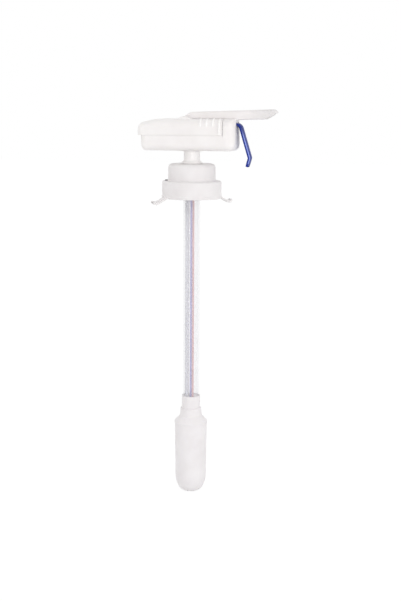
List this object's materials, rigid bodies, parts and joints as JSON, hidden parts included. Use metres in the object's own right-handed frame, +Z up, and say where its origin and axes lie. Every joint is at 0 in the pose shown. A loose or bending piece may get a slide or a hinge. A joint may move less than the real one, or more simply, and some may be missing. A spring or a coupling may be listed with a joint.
{
  "type": "battery jug pump",
  "caption": "Battery powered bottle tap: stepped bottle collar, swivelling head with spout and push lever, clear riser tube and submersible motor pump.",
  "frame": {"origin": "centre of the bottle collar's mouth, on the collar's bottom rim", "axes": "+Z up along the riser tube and the collar's axis, +X towards the spout"},
  "size_m": [0.1266, 0.056, 0.3632],
  "materials": {
    "silicone": "translucent milky silicone",
    "white_plastic": "moulded white, satin gloss",
    "pump_plastic": "milky white moulded plastic",
    "blue_plastic": "moulded royal blue",
    "clear_plastic": "clear extruded tube",
    "hose": "translucent soft hose",
    "red_plastic": "wire insulation",
    "blue_wire": "wire insulation",
    "seal_rubber": "black seal rubber",
    "steel": "plated steel",
    "brass": "plain brass",
    "copper": "copper windings on steel laminations",
    "magnet": "ferrite",
    "cell_jacket": "plain printed jacket, no lettering",
    "black_plastic": "moulded black"
  },
  "bodies": {
    "collar": {"bottle_collar": "silicone", "vent_valve": "seal_rubber", "swivel_bush": "white_plastic"},
    "head": {"stem": "white_plastic", "stem_seal_ring": "seal_rubber", "stem_retaining_clip": "steel", "stem_nut": "white_plastic", "main_housing": "white_plastic", "spout": "white_plastic", "hose_barb": "white_plastic", "battery_tray": "white_plastic", "tray_screws": "steel", "battery_cell_left": "cell_jacket", "battery_cell_right": "cell_jacket", "contact_bridge": "steel", "positive_contact": "steel", "negative_contact": "steel", "rear_contact_spring": "steel", "front_contact_spring": "steel", "switch_case": "black_plastic", "switch_terminals": "brass", "lever_pins": "steel", "lever_return_spring": "steel", "battery_lead": "red_plastic", "red_wire": "red_plastic", "blue_wire": "blue_wire", "water_hose": "hose", "riser_tube": "clear_plastic", "pump_cap": "pump_plastic", "cable_gland": "silicone", "pump_seal_ring": "seal_rubber", "pump_cup": "pump_plastic", "intake_strainer": "pump_plastic", "volute_plate": "pump_plastic", "motor_plate": "pump_plastic", "shaft_seal": "seal_rubber", "discharge_pipe": "pump_plastic", "motor_can": "steel", "motor_magnets": "magnet", "motor_bush": "brass", "motor_end_bell": "white_plastic", "motor_terminals": "brass"},
    "cover": {"battery_cover": "white_plastic"},
    "lever": {"dispense_lever": "blue_plastic"},
    "plunger": {"switch_plunger": "red_plastic"},
    "rotor": {"impeller": "pump_plastic", "motor_shaft": "steel", "armature": "copper", "commutator": "copper"}
  },
  "joints": [
    {"name": "head_swivel", "type": "hinge", "parent": "collar", "child": "head", "pos_m": [0, 0, 0.0315], "axis": [0, 0, 1], "continuous": true},
    {"name": "cover_slide", "type": "slide", "parent": "head", "child": "cover", "axis": [-1, 0, 0], "range_m": [0, 0.09]},
    {"name": "lever_pivot", "type": "hinge", "parent": "head", "child": "lever", "pos_m": [0.0343, 0, 0.0662], "axis": [0, 1, 0], "range_deg": [0, 14], "stiffness_Nm_per_rad": 0.05, "springref_deg": -11.46, "deforming": ["lever_return_spring"]},
    {"name": "switch_travel", "type": "slide", "parent": "head", "child": "plunger", "axis": [-1, 0, 0], "range_m": [0, 0.00135]},
    {"name": "impeller_spin", "type": "hinge", "parent": "head", "child": "rotor", "pos_m": [0, 0, -0.267], "axis": [0, 0, 1], "continuous": true}
  ],
  "couplings": [
    {"joint": "switch_travel", "follows": "lever_pivot", "m_per_rad": 0.0055}
  ]
}
